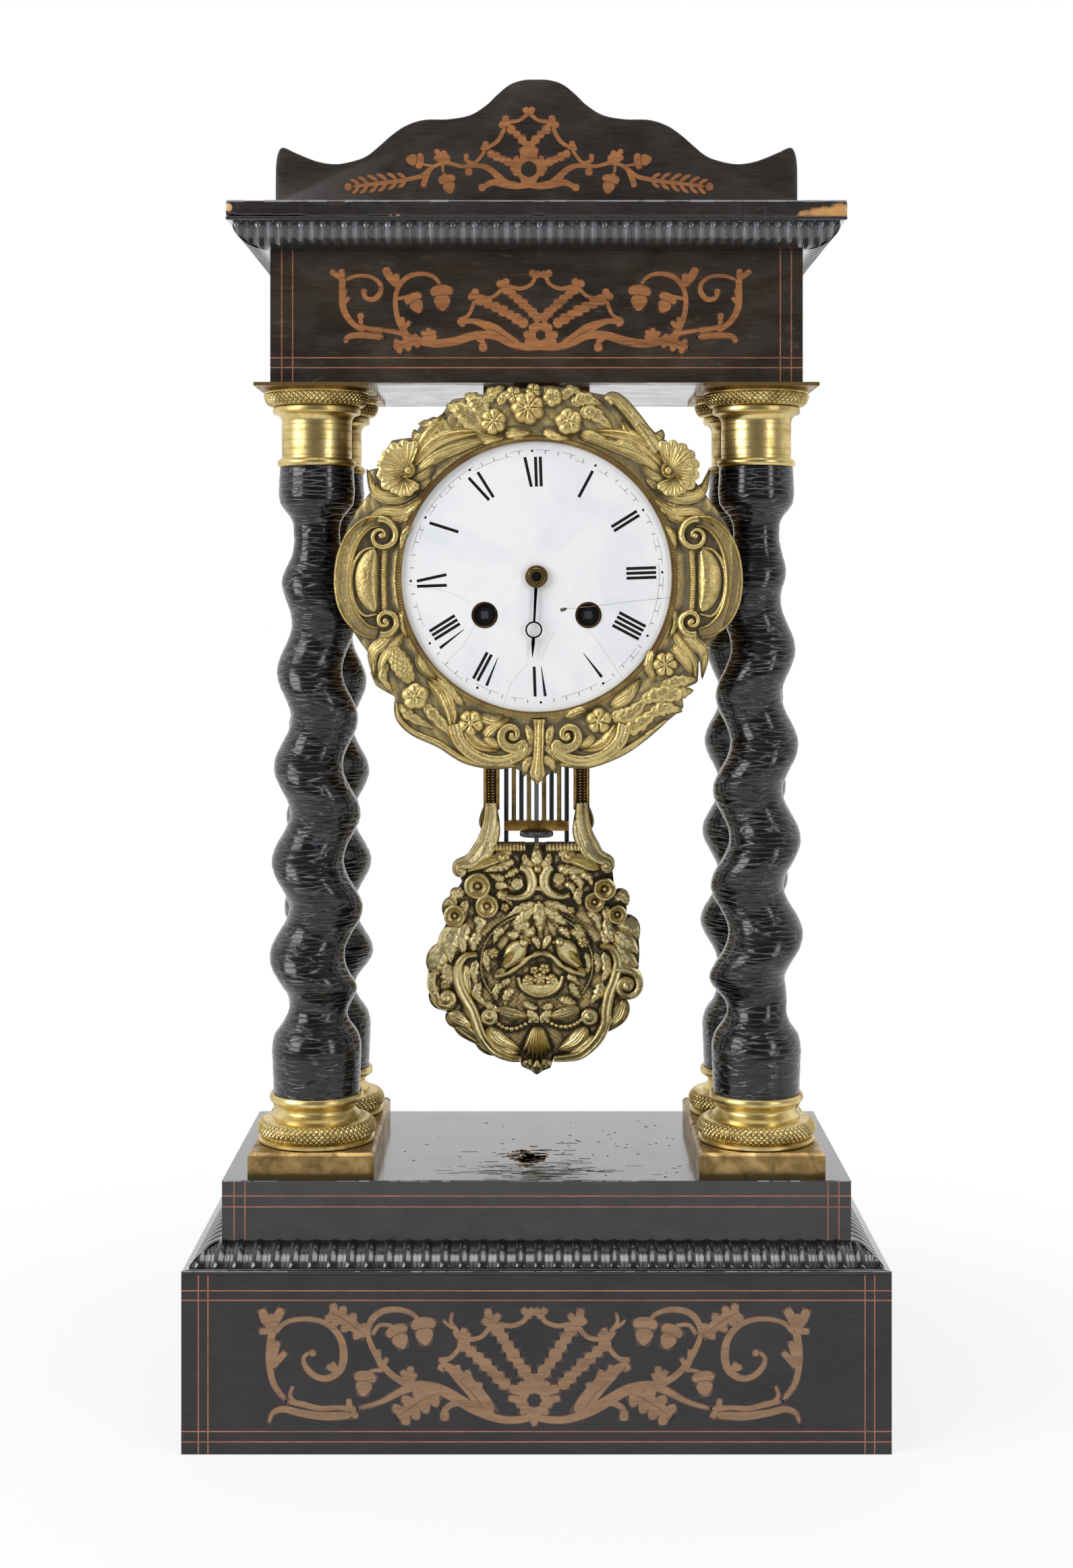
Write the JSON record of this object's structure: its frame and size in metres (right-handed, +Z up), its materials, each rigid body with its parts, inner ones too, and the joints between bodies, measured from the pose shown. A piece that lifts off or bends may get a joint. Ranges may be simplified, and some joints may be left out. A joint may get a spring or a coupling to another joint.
{
  "type": "table clock",
  "caption": "Portico mantel clock: ebonised case on four barley-twist columns with brass mounts, gilt bezel, enamel dial, striking movement and gridiron pendulum.",
  "frame": {"origin": "middle of the footprint, on the face it stands on", "axes": "+X to the right of the dial, +Y to the rear, +Z up"},
  "size_m": [0.2522, 0.1216, 0.4933],
  "materials": {
    "ebonised_wood": "ebonised veneer, worn polish, fine light stringing and marquetry",
    "black_top": "black french polish, mirror gloss, worn spots",
    "black_moulding": "black lacquer, gloss, rippled",
    "column_lacquer": "black lacquer, gloss, fine turned lines",
    "raw_wood": "unpolished softwood",
    "soffit_wood": "thin grey-black polish",
    "plinth_brass": "worn lacquered brass plate",
    "turned_brass": "turned, knurled and gilded brass",
    "gilt_bezel": "cast and gilded, dull recesses",
    "gilt_bob": "stamped and gilded, darkened recesses",
    "enamel": "white vitreous enamel on copper, glossy",
    "plate_brass": "brushed brass",
    "drum_brass": "dull spun brass",
    "wheel_brass": "cut brass",
    "bell_metal": "cast bell metal",
    "steel": "polished steel",
    "blued_steel": "blued steel",
    "blackened_steel": "blackened steel"
  },
  "bodies": {
    "case": {"base_front": "ebonised_wood", "base_side_and_back_boards": "ebonised_wood", "base_bottom": "raw_wood", "base_top": "ebonised_wood", "base_moulding": "black_moulding", "step_rails": "ebonised_wood", "step_top": "black_top", "plinths": "plinth_brass", "column_bases": "turned_brass", "column_front_left": "column_lacquer", "column_front_right": "column_lacquer", "column_rear_left": "column_lacquer", "column_rear_right": "column_lacquer", "capitals": "turned_brass", "abacus_plates": "plinth_brass", "tie_rods": "steel", "tie_nuts": "steel", "entablature_front": "ebonised_wood", "entablature_side_and_back_boards": "ebonised_wood", "entablature_bottom": "soffit_wood", "cornice_moulding": "black_moulding", "top_board": "ebonised_wood", "pediment": "ebonised_wood", "bezel": "gilt_bezel", "dial": "enamel", "dial_plate": "plate_brass", "drum": "drum_brass", "hanger_bracket": "drum_brass", "bracket_screws": "steel", "door_hinge_pin": "steel", "mounting_ring": "plate_brass", "front_plate": "plate_brass", "back_plate": "plate_brass", "pillars": "plate_brass", "back_cock": "plate_brass", "bell": "bell_metal", "bell_stand": "plate_brass"},
    "minute_arbor": {"minute_arbor": "wheel_brass"},
    "hour_wheel": {"hour_wheel": "wheel_brass", "hour_hand": "blued_steel"},
    "minute_wheel": {"minute_wheel": "wheel_brass"},
    "second_wheel": {"second_wheel": "wheel_brass"},
    "going_barrel": {"going_barrel": "wheel_brass"},
    "third_wheel": {"third_wheel": "wheel_brass"},
    "escape_wheel": {"escape_wheel": "wheel_brass"},
    "going_winding_arbor": {"going_winding_arbor": "steel"},
    "going_click": {"going_click": "steel"},
    "strike_barrel": {"strike_barrel": "wheel_brass"},
    "pin_wheel": {"pin_wheel": "wheel_brass"},
    "fly": {"fly": "wheel_brass"},
    "strike_winding_arbor": {"strike_winding_arbor": "steel"},
    "strike_click": {"strike_click": "steel"},
    "anchor": {"anchor": "steel"},
    "pendulum": {"suspension_spring": "steel", "pendulum_rod": "steel"},
    "bob": {"gridiron": "steel", "pendulum_bob": "gilt_bob"},
    "rating_nut": {"rating_nut": "blackened_steel"},
    "hammer": {"hammer": "steel"},
    "rear_door": {"rear_door": "drum_brass"}
  },
  "joints": [
    {"name": "hands_turn", "type": "hinge", "parent": "case", "child": "minute_arbor", "pos_m": [0, 0, 0.3117], "axis": [0, 1, 0], "continuous": true},
    {"name": "hour_wheel_turn", "type": "hinge", "parent": "case", "child": "hour_wheel", "pos_m": [0, 0, 0.3117], "axis": [0, 1, 0], "continuous": true},
    {"name": "minute_wheel_turn", "type": "hinge", "parent": "case", "child": "minute_wheel", "pos_m": [0.005, 0, 0.32036], "axis": [0, 1, 0], "continuous": true},
    {"name": "second_wheel_turn", "type": "hinge", "parent": "case", "child": "second_wheel", "pos_m": [0.01621, 0, 0.31768], "axis": [0, 1, 0], "continuous": true},
    {"name": "going_barrel_turn", "type": "hinge", "parent": "case", "child": "going_barrel", "pos_m": [0.0189, 0, 0.2977], "axis": [0, 1, 0], "continuous": true},
    {"name": "third_wheel_turn", "type": "hinge", "parent": "case", "child": "third_wheel", "pos_m": [-0.00936, 0, 0.32448], "axis": [0, 1, 0], "continuous": true},
    {"name": "escape_wheel_turn", "type": "hinge", "parent": "case", "child": "escape_wheel", "pos_m": [0, 0, 0.335], "axis": [0, 1, 0], "continuous": true},
    {"name": "strike_barrel_turn", "type": "hinge", "parent": "case", "child": "strike_barrel", "pos_m": [-0.0189, 0, 0.2977], "axis": [0, 1, 0], "continuous": true},
    {"name": "pin_wheel_turn", "type": "hinge", "parent": "case", "child": "pin_wheel", "pos_m": [-0.03046, 0, 0.31421], "axis": [0, 1, 0], "continuous": true},
    {"name": "fly_turn", "type": "hinge", "parent": "case", "child": "fly", "pos_m": [-0.0257, 0, 0.32246], "axis": [0, 1, 0], "continuous": true},
    {"name": "going_winding", "type": "hinge", "parent": "case", "child": "going_winding_arbor", "pos_m": [0.0189, 0, 0.2977], "axis": [0, 1, 0], "range_deg": [0, 1440]},
    {"name": "strike_winding", "type": "hinge", "parent": "case", "child": "strike_winding_arbor", "pos_m": [-0.0189, 0, 0.2977], "axis": [0, 1, 0], "range_deg": [0, 1440]},
    {"name": "going_click_lift", "type": "hinge", "parent": "case", "child": "going_click", "pos_m": [0.02989, 0, 0.2937], "axis": [0, 1, 0], "range_deg": [-8, 0]},
    {"name": "strike_click_lift", "type": "hinge", "parent": "case", "child": "strike_click", "pos_m": [-0.02989, 0, 0.2937], "axis": [0, 1, 0], "range_deg": [0, 8]},
    {"name": "pendulum_swing", "type": "hinge", "parent": "case", "child": "pendulum", "pos_m": [0, 0, 0.352], "axis": [0, 1, 0], "range_deg": [-3, 3]},
    {"name": "anchor_swing", "type": "hinge", "parent": "case", "child": "anchor", "pos_m": [0, 0, 0.352], "axis": [0, 1, 0], "range_deg": [-3.2, 3.2]},
    {"name": "bob_rise", "type": "slide", "parent": "pendulum", "child": "bob", "axis": [0, 0, 1], "range_m": [-0.0005, 0.0005]},
    {"name": "rating_nut_turn", "type": "hinge", "parent": "bob", "child": "rating_nut", "pos_m": [0, 0.045, 0.2093], "axis": [0, 0, 1], "range_deg": [-365, 365]},
    {"name": "hammer_lift", "type": "hinge", "parent": "case", "child": "hammer", "pos_m": [-0.039, 0, 0.2967], "axis": [0, 1, 0], "range_deg": [-14, 0]},
    {"name": "rear_door_turn", "type": "hinge", "parent": "case", "child": "rear_door", "pos_m": [0.0545, 0.0528, 0.3117], "axis": [0, 0, -1], "range_deg": [0, 110]}
  ],
  "couplings": [
    {"joint": "hour_wheel_turn", "follows": "hands_turn", "ratio": 0.083333},
    {"joint": "minute_wheel_turn", "follows": "hands_turn", "ratio": -0.33333},
    {"joint": "second_wheel_turn", "follows": "hands_turn", "ratio": -0.14286},
    {"joint": "going_barrel_turn", "follows": "hands_turn", "ratio": 0.020408},
    {"joint": "third_wheel_turn", "follows": "hands_turn", "ratio": -10},
    {"joint": "escape_wheel_turn", "follows": "hands_turn", "ratio": 100},
    {"joint": "pin_wheel_turn", "follows": "strike_barrel_turn", "ratio": -7},
    {"joint": "fly_turn", "follows": "strike_barrel_turn", "ratio": 42},
    {"joint": "anchor_swing", "follows": "pendulum_swing", "ratio": 1},
    {"joint": "rating_nut_turn", "follows": "bob_rise", "rad_per_m": 12566}
  ]
}
